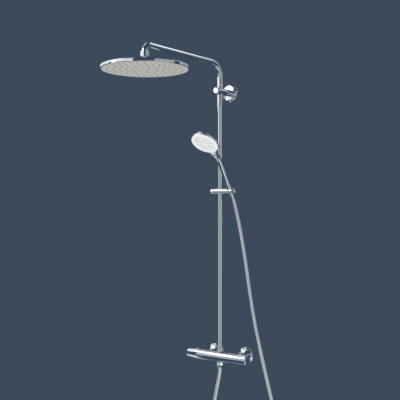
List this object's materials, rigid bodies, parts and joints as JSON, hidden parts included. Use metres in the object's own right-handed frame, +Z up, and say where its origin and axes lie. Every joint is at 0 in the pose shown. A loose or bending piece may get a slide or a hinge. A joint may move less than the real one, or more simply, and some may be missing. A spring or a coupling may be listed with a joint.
{
  "type": "thermostatic shower system",
  "caption": "Wall-mounted shower column with a thermostatic bar mixer, riser, swivelling arm, round overhead shower, sliding holder, hand shower and hose.",
  "frame": {"origin": "on the wall surface, midway between the hot and cold inlets, at the height of the mixer's axis", "axes": "+X to the right along the wall as seen from the room, +Y into the wall, +Z up"},
  "size_m": [0.4, 0.691, 1.671],
  "materials": {
    "chromed_brass": "polished chrome plating on brass",
    "chromed_plastic": "polished chrome plating on moulded plastic",
    "raw_brass": "plain turned brass",
    "stainless_steel": "plain stainless steel",
    "white_nylon": "moulded nylon",
    "black_rubber": "moulded seal rubber",
    "grey_silicone": "moulded silicone",
    "grey_spray_plate": "satin warm grey plastic",
    "white_face": "satin white plastic",
    "silver_hose": "smooth metallic silver plastic sleeve"
  },
  "bodies": {
    "root": {"mixer_body": "chromed_brass", "inlet_union_hot": "raw_brass", "inlet_union_cold": "raw_brass", "union_nuts": "chromed_brass", "wall_flanges": "chromed_brass", "inlet_filters": "black_rubber", "check_cages": "white_nylon", "check_springs": "stainless_steel", "thermostat_housing": "raw_brass", "diverter_housing": "raw_brass", "hose_outlet": "chromed_brass", "riser_nut": "chromed_brass", "riser_seal": "black_rubber", "riser_tube": "chromed_brass", "bracket_plate": "stainless_steel", "bracket_flange": "chromed_brass", "bracket_bar": "chromed_brass", "bracket_cap": "chromed_brass", "bracket_screws": "stainless_steel", "arm_bush": "white_nylon", "hose_nut": "chromed_brass", "hose": "silver_hose"},
    "check_valve_hot": {"check_poppet_hot": "white_nylon"},
    "check_valve_cold": {"check_poppet_cold": "white_nylon"},
    "temperature_control": {"temperature_spindle": "raw_brass", "temperature_handle": "chromed_brass", "temperature_cap": "chromed_plastic", "temperature_screw": "stainless_steel"},
    "temperature_stop": {"stop_button": "chromed_plastic"},
    "thermostat_element": {"thermostat_piston": "raw_brass"},
    "volume_control": {"diverter_drum": "white_nylon", "diverter_spindle": "raw_brass", "volume_handle": "chromed_brass", "volume_cap": "chromed_plastic", "volume_screw": "stainless_steel"},
    "flow_saver": {"eco_button": "chromed_plastic"},
    "arm": {"arm_tube": "chromed_brass", "arm_seals": "black_rubber", "ball_connector": "chromed_brass", "flow_regulator": "white_nylon"},
    "ball_seat_upper": {"upper_ball_seat": "white_nylon"},
    "ball_seat_lower": {"lower_ball_seat": "white_nylon"},
    "overhead_shower": {"ball_retainer": "chromed_brass", "head_shell": "chromed_brass", "distribution_plate": "white_nylon", "head_gasket": "black_rubber", "nozzle_mat": "grey_silicone", "spray_plate": "grey_spray_plate", "head_screws": "stainless_steel"},
    "slider": {"slider_body": "chromed_brass", "slider_bush": "white_nylon"},
    "clamp": {"clamp_knob": "chromed_plastic"},
    "holder": {"shower_holder": "chromed_plastic"},
    "hose_end": {"hose_ferrule": "chromed_brass"},
    "handset": {"handset_body": "chromed_plastic", "handset_face": "white_face", "handset_nozzles": "grey_silicone", "cone_nut": "chromed_brass"},
    "spray_ring": {"handset_ring": "white_face"}
  },
  "joints": [
    {"name": "check_valve_hot_open", "type": "slide", "parent": "root", "child": "check_valve_hot", "axis": [0, -1, 0], "range_m": [0, 0.003], "stiffness_N_per_m": 30, "springref_m": -0.004, "deforming": ["check_springs"]},
    {"name": "check_valve_cold_open", "type": "slide", "parent": "root", "child": "check_valve_cold", "axis": [0, -1, 0], "range_m": [0, 0.003], "stiffness_N_per_m": 30, "springref_m": -0.004, "deforming": ["check_springs"]},
    {"name": "temperature_turn", "type": "hinge", "parent": "root", "child": "temperature_control", "pos_m": [0.11, -0.07, 0], "axis": [1, 0, 0], "range_deg": [-160, 90]},
    {"name": "temperature_stop_press", "type": "slide", "parent": "temperature_control", "child": "temperature_stop", "axis": [0, 0, -1], "range_m": [0, 0.0015], "stiffness_N_per_m": 400, "springref_m": -0.002},
    {"name": "thermostat_shift", "type": "slide", "parent": "root", "child": "thermostat_element", "axis": [1, 0, 0], "range_m": [-0.0015, 0.001]},
    {"name": "volume_turn", "type": "hinge", "parent": "root", "child": "volume_control", "pos_m": [-0.13, -0.07, 0], "axis": [1, 0, 0], "range_deg": [-90, 90]},
    {"name": "flow_saver_press", "type": "slide", "parent": "volume_control", "child": "flow_saver", "axis": [0, 0, -1], "range_m": [0, 0.0015], "stiffness_N_per_m": 400, "springref_m": -0.002},
    {"name": "arm_swivel", "type": "hinge", "parent": "root", "child": "arm", "pos_m": [0, -0.07, 1.08], "axis": [0, 0, 1], "range_deg": [-60, 60]},
    {"name": "head_turn", "type": "hinge", "parent": "arm", "child": "ball_seat_upper", "pos_m": [0, -0.52, 1.0985], "axis": [0, 0, 1], "continuous": true},
    {"name": "head_tilt_side", "type": "hinge", "parent": "ball_seat_upper", "child": "ball_seat_lower", "pos_m": [0, -0.52, 1.0985], "axis": [0, 1, 0], "range_deg": [-15, 15]},
    {"name": "head_tilt_front", "type": "hinge", "parent": "ball_seat_lower", "child": "overhead_shower", "pos_m": [0, -0.52, 1.0985], "axis": [1, 0, 0], "range_deg": [-15, 15]},
    {"name": "slider_travel", "type": "slide", "parent": "root", "child": "slider", "axis": [0, 0, 1], "range_m": [-0.5, 0.15], "deforming": ["hose"]},
    {"name": "clamp_turn", "type": "hinge", "parent": "slider", "child": "clamp", "pos_m": [-0.03, -0.07, 0.654], "axis": [1, 0, 0], "range_deg": [0, 90]},
    {"name": "holder_tilt", "type": "hinge", "parent": "slider", "child": "holder", "pos_m": [0.03, -0.07, 0.654], "axis": [1, 0, 0], "range_deg": [-15, 30]},
    {"name": "handset_lift", "type": "slide", "parent": "holder", "child": "hose_end", "axis": [0, -0.5299, 0.848], "range_m": [0, 0.03]},
    {"name": "handset_turn", "type": "hinge", "parent": "hose_end", "child": "handset", "pos_m": [0.05, -0.07, 0.654], "axis": [0, -0.5299, 0.848], "continuous": true},
    {"name": "spray_ring_turn", "type": "hinge", "parent": "handset", "child": "spray_ring", "pos_m": [0.05, -0.23498, 0.83391], "axis": [0, -0.5736, -0.8192], "range_deg": [0, 120]}
  ],
  "couplings": [
    {"joint": "thermostat_shift", "follows": "temperature_turn", "m_per_rad": 0.00048}
  ]
}
